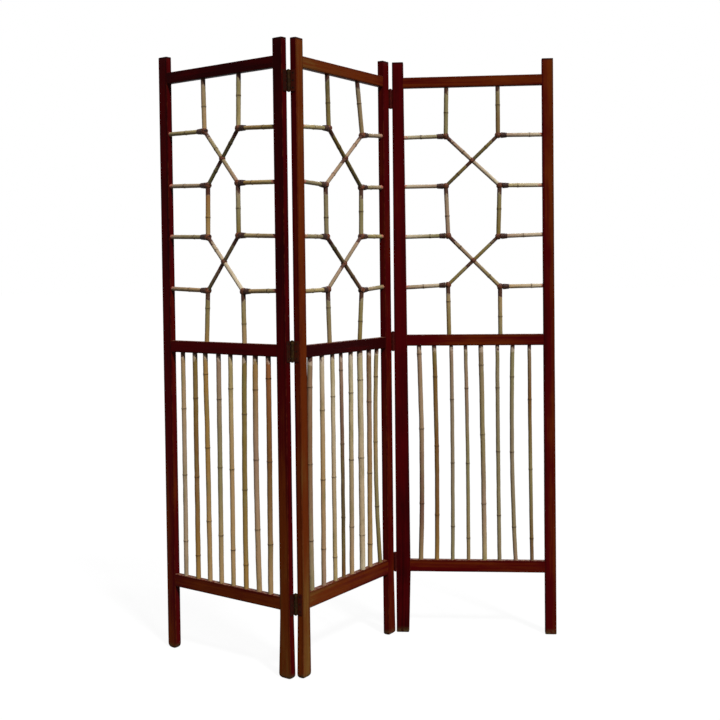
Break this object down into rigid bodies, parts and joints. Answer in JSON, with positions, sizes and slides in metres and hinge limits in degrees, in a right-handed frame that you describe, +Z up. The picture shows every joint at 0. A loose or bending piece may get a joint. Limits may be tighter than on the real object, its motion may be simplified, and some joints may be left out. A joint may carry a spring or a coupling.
{
  "type": "folding screen",
  "caption": "Free-standing zigzag folding screen: slim stained hardwood panel frames with a bound cane lattice over upright canes, joined by butt hinges.",
  "frame": {"origin": "on the floor, at the middle of the standing screen's footprint box", "axes": "+Z up along the posts; the screen's front faces -Y; +X runs from the left panel to the right panel as seen from the front"},
  "size_m": [1.2286, 0.4624, 1.83],
  "materials": {
    "stained_wood": "semi-gloss red-brown stain and varnish over fine straight grain",
    "cane": "satin natural cane with darker growth rings, olive and pinkish streaks",
    "binding": "satin dark red-brown wrapping of split cane strips",
    "hinge_steel": "blackened, darkened bronze tone, satin",
    "screw_steel": "blackened steel, satin"
  },
  "bodies": {
    "middle_panel": {"middle_left_post": "stained_wood", "middle_right_post": "stained_wood", "middle_panel_top_rail": "stained_wood", "middle_panel_middle_rail": "stained_wood", "middle_panel_bottom_rail": "stained_wood", "middle_panel_lower_canes": "cane", "middle_panel_upright_canes": "cane", "middle_panel_side_canes": "cane", "middle_panel_crossing_canes": "cane", "middle_panel_corner_bindings": "binding", "middle_panel_crossing_bindings": "binding", "left_joint_top_hinge_middle_leaf": "hinge_steel", "left_joint_top_hinge_pin": "hinge_steel", "left_joint_middle_hinge_middle_leaf": "hinge_steel", "left_joint_middle_hinge_pin": "hinge_steel", "left_joint_bottom_hinge_middle_leaf": "hinge_steel", "left_joint_bottom_hinge_pin": "hinge_steel", "left_joint_middle_screws": "screw_steel", "right_joint_top_hinge_middle_leaf": "hinge_steel", "right_joint_top_hinge_pin": "hinge_steel", "right_joint_middle_hinge_middle_leaf": "hinge_steel", "right_joint_middle_hinge_pin": "hinge_steel", "right_joint_bottom_hinge_middle_leaf": "hinge_steel", "right_joint_bottom_hinge_pin": "hinge_steel", "right_joint_middle_screws": "screw_steel"},
    "left_panel": {"left_outer_post": "stained_wood", "left_hinge_post": "stained_wood", "left_panel_top_rail": "stained_wood", "left_panel_middle_rail": "stained_wood", "left_panel_bottom_rail": "stained_wood", "left_panel_lower_canes": "cane", "left_panel_upright_canes": "cane", "left_panel_side_canes": "cane", "left_panel_crossing_canes": "cane", "left_panel_corner_bindings": "binding", "left_panel_crossing_bindings": "binding", "left_joint_top_hinge_outer_leaf": "hinge_steel", "left_joint_middle_hinge_outer_leaf": "hinge_steel", "left_joint_bottom_hinge_outer_leaf": "hinge_steel", "left_joint_outer_screws": "screw_steel"},
    "right_panel": {"right_hinge_post": "stained_wood", "right_outer_post": "stained_wood", "right_panel_top_rail": "stained_wood", "right_panel_middle_rail": "stained_wood", "right_panel_bottom_rail": "stained_wood", "right_panel_lower_canes": "cane", "right_panel_upright_canes": "cane", "right_panel_side_canes": "cane", "right_panel_crossing_canes": "cane", "right_panel_corner_bindings": "binding", "right_panel_crossing_bindings": "binding", "right_joint_top_hinge_outer_leaf": "hinge_steel", "right_joint_middle_hinge_outer_leaf": "hinge_steel", "right_joint_bottom_hinge_outer_leaf": "hinge_steel", "right_joint_outer_screws": "screw_steel"}
  },
  "joints": [
    {"name": "left_fold", "type": "hinge", "parent": "middle_panel", "child": "left_panel", "pos_m": [-0.19766, -0.21588, 0.94], "axis": [0, 0, 1], "range_deg": [-84.3, 95.7]},
    {"name": "right_fold", "type": "hinge", "parent": "middle_panel", "child": "right_panel", "pos_m": [0.10094, 0.20927, 0.94], "axis": [0, 0, 1], "range_deg": [-117.3, 62.7]}
  ]
}
